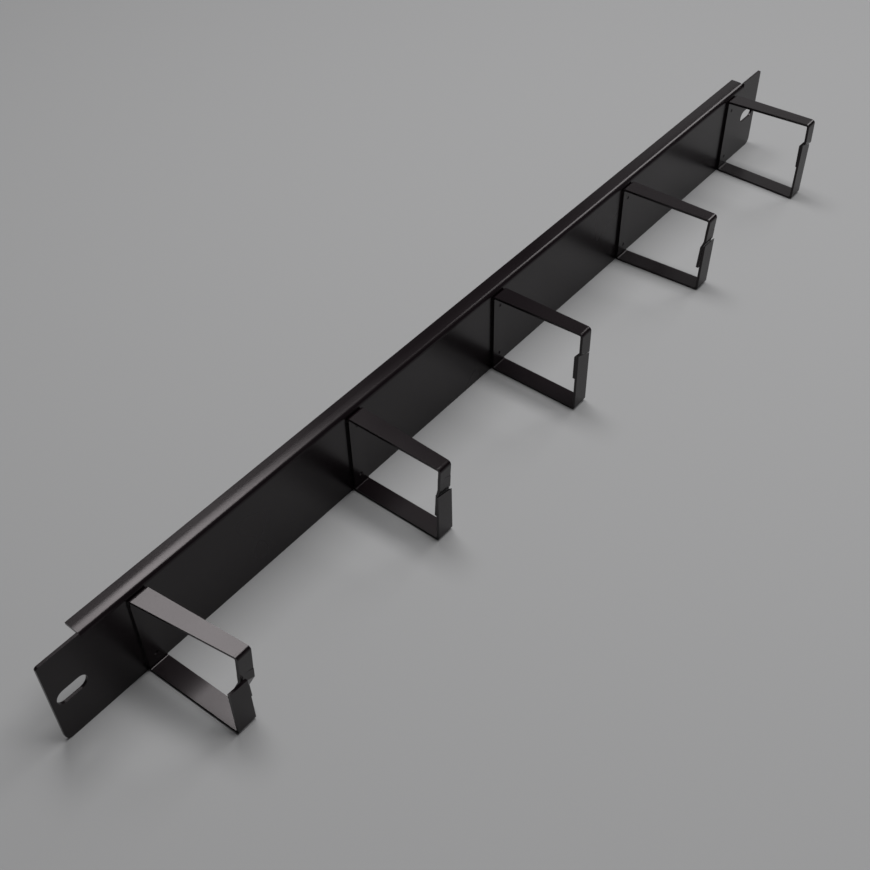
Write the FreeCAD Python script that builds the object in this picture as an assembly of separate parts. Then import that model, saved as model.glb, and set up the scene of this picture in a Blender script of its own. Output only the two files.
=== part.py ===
import FreeCAD, Part
import os
from math import atan2, cos, degrees, hypot, sin

# Horizontal cable manager for a 19-inch rack: one folded sheet panel and five cable
# rings bent from flat strip, spot-welded to the panel's front face. Millimetres.
#
# Frame: X runs along the panel, -Y points out of the rack towards the cables, +Z is up.
# The origin is on the panel's rear face, which seats on the rack rails, midway between
# the two mounting slots and at half the panel's height.

# --- front panel ---------------------------------------------------------------------
PANEL_LENGTH = 482.6          # 19-inch rack width, end to end
PANEL_HEIGHT = 44.0           # one rack unit, less the clearance to its neighbours
PANEL_SHEET = 1.2
PANEL_BEND = 0.8              # inner radius of the fold
FLANGE_DEPTH = 7.5            # front face of the panel to the rear edge of the flange
EAR_LENGTH = 18.0             # flat end of the panel that the flange leaves free
EAR_TOP_RADIUS = 1.2
EAR_BOTTOM_RADIUS = 3.5

# --- mounting slots, one in each ear -------------------------------------------------
SLOT_INSET = 8.75             # panel's end to the slot's centre: rack holes 465.1 apart
SLOT_LENGTH = 13.0
SLOT_WIDTH = 6.5

# --- cable rings: one bent strip each ------------------------------------------------
STRIP_WIDTH = 8.3
STRIP_THICKNESS = 1.2
RING_BEND = 0.5               # inner radius of every bend in the strip
RING_DEPTH = 45.5             # panel front face to the ring's outer front face
RING_TOP_CLEARANCE = 2.2      # panel's top edge to the top of the ring
UPPER_TAPER = 2.0             # how much narrower the upper arm gets on its left, to the front

# Mouth of the ring: the lower arm ends in front, and the upper arm steps in behind it.
# The step runs aslant across the strip, so that the mouth is open on the left and
# almost shut on the right, and a cable doesn't slip out by itself.
LOWER_ARM_HEIGHT = 25.3       # ring's underside to the lower arm's free end
MOUTH_OPENING = 5.6           # lower arm's free end to the start of the step, mid-strip
MOUTH_SLANT = 3.4             # how much lower the step is on the right than on the left
MOUTH_GAP = 1.0               # lower arm's inner face to the tongue behind it
STEP_HEIGHT = 3.2             # height over which the upper arm steps in
TONGUE_LENGTH = 12.0          # from the foot of the step down to the tongue's end

# Spot-weld marks in the front of each back leg, above each other.
WELD_DIAMETER = 2.0
WELD_DEPTH = 0.35
WELD_INSET = 7.0              # from the ring's top and from its underside

# --- row of rings --------------------------------------------------------------------
RING_COUNT = 5
LEFT_RING_INSET = 41.8        # panel's left end to the centre of the first ring
RIGHT_RING_INSET = 31.1       # panel's right end to the centre of the last ring

# Each ring as made, from left to right: drift of its weld along the panel from the even
# pitch, how far its upper and its lower arm lean to the right at the front, how far the
# upper arm sags there, and how much lower than on the others its step is.
RING_DRIFT = (0.0, 9.5, 1.5, 2.0, 0.0)
UPPER_LEAN = (6.3, 0.5, 0.5, 3.3, 0.0)
LOWER_LEAN = (1.5, 0.4, 0.4, 2.8, -0.8)
UPPER_SAG = (3.7, 2.8, 0.0, 2.3, -1.2)
STEP_DROP = (6.0, 0.4, 0.8, 0.8, 0.0)

CUT_MARGIN = 1.0              # how far a cutter runs past the faces that it cuts

# --- derived places ------------------------------------------------------------------
PANEL_FRONT = -PANEL_SHEET
PANEL_TOP = PANEL_HEIGHT / 2
PANEL_BOTTOM = -PANEL_HEIGHT / 2
FLANGE_REAR = PANEL_FRONT + FLANGE_DEPTH
RING_FRONT = PANEL_FRONT - RING_DEPTH
RING_BOTTOM = PANEL_BOTTOM
RING_TOP = PANEL_TOP - RING_TOP_CLEARANCE
LOWER_ARM_END = RING_BOTTOM + LOWER_ARM_HEIGHT
STEP_START = LOWER_ARM_END + MOUTH_OPENING
STEP_DEPTH = STRIP_THICKNESS + MOUTH_GAP
SLOT_X = PANEL_LENGTH / 2 - SLOT_INSET

X_AXIS = FreeCAD.Vector(1, 0, 0)
Y_AXIS = FreeCAD.Vector(0, 1, 0)
Z_AXIS = FreeCAD.Vector(0, 0, 1)


def in_xy(point):
    """A plan point (x, y) on the plane Z = 0."""
    return FreeCAD.Vector(point[0], point[1], 0)


def in_yz(point):
    """A side-view point (y, z) on the plane X = 0."""
    return FreeCAD.Vector(0, point[0], point[1])


def in_xz(point):
    """A front-view point (x, z) on the plane Y = 0."""
    return FreeCAD.Vector(point[0], 0, point[1])


def direction(start, end):
    """Unit vector from one 2-D point to another."""
    length = hypot(end[0] - start[0], end[1] - start[1])
    return (end[0] - start[0]) / length, (end[1] - start[1]) / length


def rounded_face(corners, place):
    """Face with straight sides and rounded corners, from (point, radius) pairs."""
    starts, arcs, ends = [], [], []
    for index, (corner, radius) in enumerate(corners):
        before = direction(corner, corners[index - 1][0])
        after = direction(corner, corners[(index + 1) % len(corners)][0])
        cosine = before[0] * after[0] + before[1] * after[1]
        half_sine = ((1 - cosine) / 2) ** 0.5
        half_cosine = ((1 + cosine) / 2) ** 0.5
        tangent = radius * half_cosine / half_sine
        starts.append(place((corner[0] + before[0] * tangent, corner[1] + before[1] * tangent)))
        ends.append(place((corner[0] + after[0] * tangent, corner[1] + after[1] * tangent)))
        if radius > 0:
            inward = direction((0, 0), (before[0] + after[0], before[1] + after[1]))
            reach = radius / half_sine - radius
            middle = place((corner[0] + inward[0] * reach, corner[1] + inward[1] * reach))
            arcs.append(Part.Arc(starts[-1], middle, ends[-1]).toShape())
        else:
            arcs.append(None)
    edges = []
    for index, arc in enumerate(arcs):
        if arc:
            edges.append(arc)
        following = starts[(index + 1) % len(starts)]
        if ends[index].distanceToPoint(following) > 1e-6:
            edges.append(Part.makeLine(ends[index], following))
    return Part.Face(Part.Wire(edges))


def bent_section(path, thickness, bend_radius):
    """Side-view face of a sheet whose outer face follows path, with metal on its left."""
    turns = []
    for index in range(1, len(path) - 1):
        before = direction(path[index - 1], path[index])
        after = direction(path[index], path[index + 1])
        turns.append((path[index], before, after))
    first = direction(path[0], path[1])
    last = direction(path[-2], path[-1])
    outer = [(path[0], 0)]
    inner = [((path[0][0] - first[1] * thickness, path[0][1] + first[0] * thickness), 0)]
    for point, before, after in turns:
        scale = thickness / (1 + before[0] * after[0] + before[1] * after[1])
        offset = (point[0] - (before[1] + after[1]) * scale, point[1] + (before[0] + after[0]) * scale)
        turns_left = before[0] * after[1] - before[1] * after[0] > 0
        outer.append((point, bend_radius + thickness if turns_left else bend_radius))
        inner.append((offset, bend_radius if turns_left else bend_radius + thickness))
    outer.append((path[-1], 0))
    inner.append(((path[-1][0] - last[1] * thickness, path[-1][1] + last[0] * thickness), 0))
    return rounded_face(outer + inner[::-1], in_yz)


def mounting_slot(centre_x):
    """Cutter for one slot, longer along the panel than it is high."""
    half_length, half_width = SLOT_LENGTH / 2, SLOT_WIDTH / 2
    corners = [(centre_x - half_length, -half_width), (centre_x + half_length, -half_width),
               (centre_x + half_length, half_width), (centre_x - half_length, half_width)]
    outline = rounded_face([(corner, half_width) for corner in corners], in_xz)
    outline.translate((PANEL_FRONT - CUT_MARGIN) * Y_AXIS)
    return outline.extrude((PANEL_SHEET + 2 * CUT_MARGIN) * Y_AXIS)


def panel_ear(side):
    """Flat end of the panel: side is -1 for the left one and 1 for the right one."""
    end, root = side * PANEL_LENGTH / 2, side * (PANEL_LENGTH / 2 - EAR_LENGTH)
    outline = rounded_face([((end, PANEL_BOTTOM), EAR_BOTTOM_RADIUS), ((root, PANEL_BOTTOM), 0),
                            ((root, PANEL_TOP), 0), ((end, PANEL_TOP), EAR_TOP_RADIUS)], in_xz)
    ear = outline.extrude(PANEL_SHEET * Y_AXIS)
    ear.translate(PANEL_FRONT * Y_AXIS)
    return ear


def front_panel():
    """The folded sheet: flat front, flange turned to the rear, an ear with a slot each end."""
    half_length = PANEL_LENGTH / 2 - EAR_LENGTH
    path = [(FLANGE_REAR, PANEL_TOP), (PANEL_FRONT, PANEL_TOP), (PANEL_FRONT, PANEL_BOTTOM)]
    folded = bent_section(path, PANEL_SHEET, PANEL_BEND)
    folded.translate(-half_length * X_AXIS)
    folded = folded.extrude(2 * half_length * X_AXIS)
    panel = folded.fuse([panel_ear(-1), panel_ear(1)]).removeSplitter()
    slots = [mounting_slot(side * SLOT_X) for side in (-1, 1)]
    return panel.cut(slots)


def sagged(point, sag):
    """A side-view point of the upper arm, swung down about the ring's top rear corner."""
    angle = atan2(sag, RING_DEPTH)
    out, up = point[0] - PANEL_FRONT, point[1] - RING_TOP
    return (PANEL_FRONT + out * cos(angle) - up * sin(angle),
            RING_TOP + out * sin(angle) + up * cos(angle))


def leaning_arm(path, lean, slant=0):
    """Bent strip along path, swung sideways about the back leg by lean at the front."""
    arm = bent_section(path, STRIP_THICKNESS, RING_BEND)
    pivot = FreeCAD.Vector(0, PANEL_FRONT - STRIP_THICKNESS / 2, 0)
    arm.rotate(pivot, Z_AXIS, degrees(atan2(lean, RING_DEPTH)))
    across = FreeCAD.Vector(STRIP_WIDTH, 0, -slant)
    arm.translate(-across / 2)
    return arm.extrude(across)


def tapered(arm, lean):
    """The upper arm or its mouth, cut narrower on its left towards the front."""
    left, ahead = -STRIP_WIDTH / 2, RING_DEPTH + CUT_MARGIN
    inset = (lean + UPPER_TAPER) * ahead / RING_DEPTH
    corners = [(left, PANEL_FRONT), (left + inset, PANEL_FRONT - ahead),
               (left - STRIP_WIDTH, PANEL_FRONT - ahead), (left - STRIP_WIDTH, PANEL_FRONT)]
    plan = rounded_face([(corner, 0) for corner in corners], in_xy)
    plan.translate(PANEL_BOTTOM * Z_AXIS)
    return arm.cut(plan.extrude((PANEL_HEIGHT + CUT_MARGIN) * Z_AXIS))


def weld_mark(height):
    """Ball that dents the back leg's front face by one spot weld."""
    radius = ((WELD_DIAMETER / 2) ** 2 + WELD_DEPTH ** 2) / (2 * WELD_DEPTH)
    surface = PANEL_FRONT - STRIP_THICKNESS
    return Part.makeSphere(radius, FreeCAD.Vector(0, surface + WELD_DEPTH - radius, height))


def cable_ring(upper_lean, lower_lean, sag, drop):
    """One ring on the panel's front face, centred on X = 0."""
    bend_room = 2 * (RING_BEND + STRIP_THICKNESS)
    split = RING_TOP - bend_room
    foot = RING_BOTTOM + bend_room
    start = STEP_START - drop
    overlap = start + MOUTH_SLANT
    lower = [(RING_FRONT, LOWER_ARM_END), (RING_FRONT, RING_BOTTOM),
             (PANEL_FRONT, RING_BOTTOM), (PANEL_FRONT, foot)]
    back = [(PANEL_FRONT, foot), (PANEL_FRONT, split)]
    upper = [(PANEL_FRONT, split), (PANEL_FRONT, RING_TOP)]
    upper += [sagged(point, sag) for point in [(RING_FRONT, RING_TOP), (RING_FRONT, overlap)]]
    mouth = [(RING_FRONT, overlap + MOUTH_SLANT / 2), (RING_FRONT, start),
             (RING_FRONT + STEP_DEPTH, start - STEP_HEIGHT),
             (RING_FRONT + STEP_DEPTH, start - STEP_HEIGHT - TONGUE_LENGTH)]
    mouth = [sagged(point, sag) for point in mouth]
    parts = [leaning_arm(lower, lower_lean), leaning_arm(back, 0),
             tapered(leaning_arm(upper, upper_lean), upper_lean),
             tapered(leaning_arm(mouth, upper_lean, MOUTH_SLANT), upper_lean)]
    ring = parts[0].fuse(parts[1:]).removeSplitter()
    return ring.cut([weld_mark(RING_BOTTOM + WELD_INSET), weld_mark(RING_TOP - WELD_INSET)])


def ring_place(index):
    """Centre of ring number index along the panel."""
    first = -PANEL_LENGTH / 2 + LEFT_RING_INSET
    last = PANEL_LENGTH / 2 - RIGHT_RING_INSET
    return first + (last - first) * index / (RING_COUNT - 1) + RING_DRIFT[index]


def build():
    """Every node of the part, by name."""
    nodes = {"front_panel": front_panel()}
    for index in range(RING_COUNT):
        ring = cable_ring(UPPER_LEAN[index], LOWER_LEAN[index], UPPER_SAG[index], STEP_DROP[index])
        ring.translate(ring_place(index) * X_AXIS)
        nodes["cable_ring_%d" % (index + 1)] = ring
    return nodes


os.makedirs("parts", exist_ok=True)
for name, shape in build().items():
    solid = shape.Solids[0] if len(shape.Solids) == 1 else shape
    solid.exportStep("parts/%s.step" % name)
    print(name, len(shape.Solids), "solid,", round(shape.Volume, 1), "mm3, valid:", shape.isValid())
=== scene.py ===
"""Looks of a horizontal cable manager: black powder coat on its folded panel and bent rings."""
from math import pi, radians

import bmesh
import bpy
from mathutils import Matrix, Vector


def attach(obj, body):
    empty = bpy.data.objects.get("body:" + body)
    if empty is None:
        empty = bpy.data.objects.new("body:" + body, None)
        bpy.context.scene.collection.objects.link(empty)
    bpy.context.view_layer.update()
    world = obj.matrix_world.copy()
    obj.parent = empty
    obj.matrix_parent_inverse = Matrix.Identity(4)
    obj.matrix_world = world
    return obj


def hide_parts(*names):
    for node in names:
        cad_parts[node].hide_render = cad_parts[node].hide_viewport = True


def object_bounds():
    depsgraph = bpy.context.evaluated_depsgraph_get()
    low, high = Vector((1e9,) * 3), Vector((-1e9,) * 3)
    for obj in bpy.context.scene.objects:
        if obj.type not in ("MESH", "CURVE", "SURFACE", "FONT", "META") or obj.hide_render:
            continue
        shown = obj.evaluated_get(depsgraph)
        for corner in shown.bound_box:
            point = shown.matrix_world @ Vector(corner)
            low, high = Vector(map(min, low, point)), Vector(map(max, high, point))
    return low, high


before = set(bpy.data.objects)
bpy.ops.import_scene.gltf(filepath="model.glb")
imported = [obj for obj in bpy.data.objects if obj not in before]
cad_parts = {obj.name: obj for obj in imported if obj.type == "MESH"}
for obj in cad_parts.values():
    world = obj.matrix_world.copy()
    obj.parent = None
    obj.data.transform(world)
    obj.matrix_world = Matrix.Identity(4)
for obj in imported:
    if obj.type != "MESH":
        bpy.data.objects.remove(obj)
CAD_LOW, CAD_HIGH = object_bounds()
MM = 0.001
TINY = 0.001 * MM               # two points this close are one
NEAR = 0.01 * MM                # a point this close to a height lies on it

# --- camera: above the panel's left end, on the rings' side, looking along the panel --------
CAMERA_TARGET = Vector((-0.0580, -0.0178, -0.0066))
CAMERA_PLACE = Vector((-0.3257, -0.2447, 0.3492))
CAMERA_ROLL = radians(-1.75)
LENS = 49.9
SENSOR = 36.0

# --- powder coat --------------------------------------------------------------------------
COAT_DARK = (0.0030, 0.0015, 0.0022)
COAT_LIGHT = (0.0046, 0.0027, 0.0036)
COAT_SHEEN = (1.0, 0.93, 0.945)  # warm tint of its reflections
COAT_ROUGHNESS = (0.22, 0.28)
COAT_SPECULAR = 0.32
GLOSS_BAND = (0.3, 0.7)         # part of the noise's range that the gloss follows
PEEL_SIZE = 1.1 * MM            # width of the coat's orange-peel waves
PEEL_HEIGHT = 0.003 * MM
TINT_SIZE = 60 * MM             # width of the soft changes in tint and gloss
EDGE_RADIUS = 0.22 * MM
EDGE_SEGMENTS = 3
EDGE_ANGLE = radians(35)
FLAT_ANGLE = radians(0.5)       # facets that meet flatter than this are one face
FLAT_WEIGHT = 100               # large faces keep their own normal, so that they shade flat

# --- the flange's roll into its bend ---------------------------------------------------------
BEND_OUTER = 2.0 * MM           # outer radius of the panel's bend
SHEET_REAR = 0.0                # the sheet's rear face
ROLL_START = 3.5 * MM           # how far behind that face the flange starts to fall
ROLL_RADIUS = 18.0 * MM
ROLL_STEPS = 6
EAR_INNER = 223.31 * MM         # the flange's half length

# --- the rings' mouths: each is closed up and bent a little differently (mm) ----------------
# Pairs are left and right. arm_end: height of the lower arm's end; arm_back: how much lower the
# back edge of that end is; arm_side: its move to the right. The upper arm's points below
# step_below are its step and tongue: in front of step_front lies the step's start, behind it
# its foot and the tongue. start_drop and foot_drop lower the first two; tongue_side and
# tongue_out move the foot and tongue to the right and towards the front.
ARM_END = 3.3 * MM              # height of every lower arm's end in the CAD model
ARM_FRONT = -45.3 * MM          # that end lies in front of this
ARM_HALF = 0.5 * MM             # about half the strip's thickness
STEP_BACK = -39.0 * MM          # the step and tongue lie in front of this
STEP_LOW = -16.0 * MM           # and above this
TONGUE_END = -13.0 * MM         # points below this are a low tongue's end, which stays level
MOUTHS = {
    "cable_ring_1": {"arm_end": (2.6, 2.2), "step_below": 1.5, "step_front": -43.0,
                     "start_drop": (0.4, 0.4), "foot_drop": (2.9, 2.9), "tongue_side": -0.9},
    "cable_ring_2": {"arm_end": (3.9, 2.1), "arm_back": 1.0, "step_below": 8.5,
                     "step_front": -44.2, "start_drop": (2.2, 1.2), "foot_drop": (2.2, 1.2),
                     "tongue_out": 1.5},
    "cable_ring_3": {"arm_end": (9.3, 6.1), "arm_back": 2.0},
    "cable_ring_4": {"arm_end": (4.0, 3.9), "arm_back": 1.4, "arm_side": 1.0,
                     "step_below": 8.5, "step_front": -44.2, "start_drop": (2.3, 0.0),
                     "foot_drop": (2.3, 0.5), "tongue_out": 1.2},
    "cable_ring_5": {"arm_end": (10.6, 7.6), "arm_back": 1.9},
}

# --- studio -------------------------------------------------------------------------------
FLOOR_COLOUR = (0.30, 0.30, 0.303)
FLOOR_RADIUS = 6.0
FLOOR_SIDES = 64
FLOOR_ROUGHNESS = 0.9
FLOOR_SPECULAR = 0.1
WORLD_COLOUR = (0.06, 0.06, 0.061)
LAMP_DISTANCE = 1.2
LEFT_AIM = 0.8                  # where lamps aim, as a share of the panel's half length
RIGHT_AIM = 0.6


def material(name):
    """A new node material, its node tree and its shader."""
    made = bpy.data.materials.new(name)
    made.use_nodes = True
    return made, made.node_tree, made.node_tree.nodes["Principled BSDF"]


def noise(tree, where, size, detail):
    """A noise texture over real coordinates, with features about size wide."""
    made = tree.nodes.new("ShaderNodeTexNoise")
    made.inputs["Scale"].default_value = 1 / size
    made.inputs["Detail"].default_value = detail
    tree.links.new(where.outputs["Object"], made.inputs["Vector"])
    return made


def powder_coat():
    """Semi-gloss black powder coat with its fine orange-peel texture."""
    made, tree, shader = material("powder_coat_black")
    shader.inputs["Specular IOR Level"].default_value = COAT_SPECULAR
    shader.inputs["Specular Tint"].default_value = (*COAT_SHEEN, 1)
    where = tree.nodes.new("ShaderNodeTexCoord")
    cloud = noise(tree, where, TINT_SIZE, 2.0)
    tint = tree.nodes.new("ShaderNodeMix")
    tint.data_type = "RGBA"
    tint.inputs["A"].default_value = (*COAT_DARK, 1)
    tint.inputs["B"].default_value = (*COAT_LIGHT, 1)
    tree.links.new(cloud.outputs["Fac"], tint.inputs["Factor"])
    tree.links.new(tint.outputs["Result"], shader.inputs["Base Color"])
    gloss = tree.nodes.new("ShaderNodeMapRange")
    gloss.inputs["From Min"].default_value, gloss.inputs["From Max"].default_value = GLOSS_BAND
    gloss.inputs["To Min"].default_value, gloss.inputs["To Max"].default_value = COAT_ROUGHNESS
    tree.links.new(cloud.outputs["Fac"], gloss.inputs["Value"])
    tree.links.new(gloss.outputs["Result"], shader.inputs["Roughness"])
    peel = noise(tree, where, PEEL_SIZE, 1.0)
    relief = tree.nodes.new("ShaderNodeBump")
    relief.inputs["Strength"].default_value = 1.0
    relief.inputs["Distance"].default_value = PEEL_HEIGHT
    tree.links.new(peel.outputs["Fac"], relief.inputs["Height"])
    tree.links.new(relief.outputs["Normal"], shader.inputs["Normal"])
    return made


def roll_bend(shape):
    """Let the flange run into its bend gradually, so that light draws a broad band on it."""
    for step in range(ROLL_STEPS):
        away = SHEET_REAR + (ROLL_START - SHEET_REAR) * (step + 1) / ROLL_STEPS
        bmesh.ops.bisect_plane(shape, geom=shape.verts[:] + shape.edges[:] + shape.faces[:],
                               plane_co=(0, away, 0), plane_no=(0, 1, 0))
    for vert in shape.verts:
        x, y, z = vert.co
        on_ear = y < TINY and z > CAD_HIGH.z - TINY
        on_flange = z > CAD_HIGH.z - BEND_OUTER - NEAR and abs(x) < EAR_INNER
        if on_flange and y < ROLL_START and not on_ear:
            vert.co.z -= (ROLL_START - y) ** 2 / (2 * ROLL_RADIUS)


def set_arm_end(ends, arm_end, arm_back=0.0, arm_side=0.0):
    """Raise the points of a lower arm's end to its slanted height, and shift them."""
    front = min(vert.co.y for vert in ends)
    middle = (min(vert.co.x for vert in ends) + max(vert.co.x for vert in ends)) / 2
    for vert in ends:
        on_back = vert.co.y > front + ARM_HALF
        on_right = vert.co.x > middle
        vert.co.z = (arm_end[on_right] - arm_back * on_back) * MM
        vert.co.x += arm_side * MM


def bend_step(bent, step_front, start_drop, foot_drop, tongue_side=0.0, tongue_out=0.0):
    """Lower an upper arm's step, and move its foot and tongue."""
    middle = sum(vert.co.x for vert in bent) / len(bent)
    for vert in bent:
        on_right = vert.co.x > middle
        if vert.co.y < step_front * MM:
            vert.co.z -= start_drop[on_right] * MM
        else:
            if vert.co.z > TONGUE_END:
                vert.co.z -= foot_drop[on_right] * MM
            vert.co.x += tongue_side * MM
            vert.co.y -= tongue_out * MM


def settle_mouth(shape, mouth):
    """Bend one ring's mouth: its lower arm's end, and the upper arm's step where it differs."""
    arm = {name: mouth[name] for name in mouth if name.startswith("arm_")}
    step = {name: mouth[name] for name in mouth if name not in arm and name != "step_below"}
    ends = [vert for vert in shape.verts
            if abs(vert.co.z - ARM_END) < NEAR and vert.co.y < ARM_FRONT]
    set_arm_end(ends, **arm)
    if step:
        bend_step([vert for vert in shape.verts if vert not in ends and vert.co.y < STEP_BACK
                   and STEP_LOW < vert.co.z < mouth["step_below"] * MM], **step)


def coated(node, finish):
    """A copy of a CAD node with its sharp edges rounded by the coat, in the node's place."""
    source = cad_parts[node]
    mesh = source.data.copy()
    piece = bpy.data.objects.new(node + "_coated", mesh)
    bpy.context.scene.collection.objects.link(piece)
    piece.matrix_world = source.matrix_world
    shape = bmesh.new()
    shape.from_mesh(mesh)
    bmesh.ops.remove_doubles(shape, verts=shape.verts, dist=TINY)
    bmesh.ops.dissolve_limit(shape, angle_limit=FLAT_ANGLE, verts=shape.verts,
                             edges=shape.edges)
    if node == "front_panel":
        roll_bend(shape)
    else:
        settle_mouth(shape, MOUTHS[node])
    for face in shape.faces:
        face.smooth = True
    shape.to_mesh(mesh)
    shape.free()
    if "custom_normal" in mesh.attributes:
        mesh.attributes.remove(mesh.attributes["custom_normal"])
    mesh.materials.clear()
    mesh.materials.append(finish)
    edge = piece.modifiers.new("coated edge", "BEVEL")
    edge.width = EDGE_RADIUS
    edge.segments = EDGE_SEGMENTS
    edge.limit_method = "ANGLE"
    edge.angle_limit = EDGE_ANGLE
    even = piece.modifiers.new("flat faces", "WEIGHTED_NORMAL")
    even.weight = FLAT_WEIGHT
    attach(piece, "root")
    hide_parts(node)


def softbox(name, towards, aim, size, radiance):
    """Area light of a given radiance, seen from aim in a direction, its width along the panel."""
    lamp = bpy.data.lights.new(name, "AREA")
    lamp.shape = "RECTANGLE"
    lamp.size, lamp.size_y = size
    lamp.energy = radiance * pi * size[0] * size[1]
    holder = bpy.data.objects.new(name, lamp)
    bpy.context.scene.collection.objects.link(holder)
    back = Vector(towards).normalized()
    across = (Vector((1, 0, 0)) - back.x * back).normalized()
    turn = Matrix((across, back.cross(across), back)).transposed().to_4x4()
    holder.matrix_world = Matrix.Translation(aim + back * LAMP_DISTANCE) @ turn


def studio():
    """Plain pale floor, world and softboxes."""
    made, _, shader = material("studio_floor")
    shader.inputs["Base Color"].default_value = (*FLOOR_COLOUR, 1)
    shader.inputs["Roughness"].default_value = FLOOR_ROUGHNESS
    shader.inputs["Specular IOR Level"].default_value = FLOOR_SPECULAR
    bpy.ops.mesh.primitive_circle_add(vertices=FLOOR_SIDES, radius=FLOOR_RADIUS,
                                      fill_type="NGON", location=(0, 0, CAD_LOW.z))
    floor = bpy.context.object
    floor.name = "floor"
    floor.data.materials.append(made)
    world = bpy.data.worlds.new("studio")
    world.use_nodes = True
    world.node_tree.nodes["Background"].inputs["Color"].default_value = (*WORLD_COLOUR, 1)
    bpy.context.scene.world = world
    left = Vector((CAD_LOW.x * LEFT_AIM, CAD_LOW.y / 2, CAD_HIGH.z))
    right = Vector((CAD_HIGH.x * RIGHT_AIM, CAD_LOW.y / 2, CAD_HIGH.z))
    softbox("key", (0.32, 0.03, 0.94), left, (0.38, 1.30), 10.3)
    softbox("right", (0.74, -0.10, 0.66), right, (0.50, 0.50), 6.0)
    softbox("low", (0.84, 0.36, 0.42), right, (0.50, 0.40), 0.5)


def camera():
    """The viewing camera."""
    lens = bpy.data.cameras.new("camera")
    lens.lens, lens.sensor_width = LENS, SENSOR
    holder = bpy.data.objects.new("camera", lens)
    bpy.context.scene.collection.objects.link(holder)
    facing = (CAMERA_TARGET - CAMERA_PLACE).to_track_quat("-Z", "Y").to_matrix().to_4x4()
    roll = Matrix.Rotation(CAMERA_ROLL, 4, "Z")
    holder.matrix_world = Matrix.Translation(CAMERA_PLACE) @ facing @ roll
    bpy.context.scene.camera = holder


finish = powder_coat()
for node in list(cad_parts):
    coated(node, finish)
studio()
camera()
bpy.context.scene.view_settings.view_transform = "Standard"
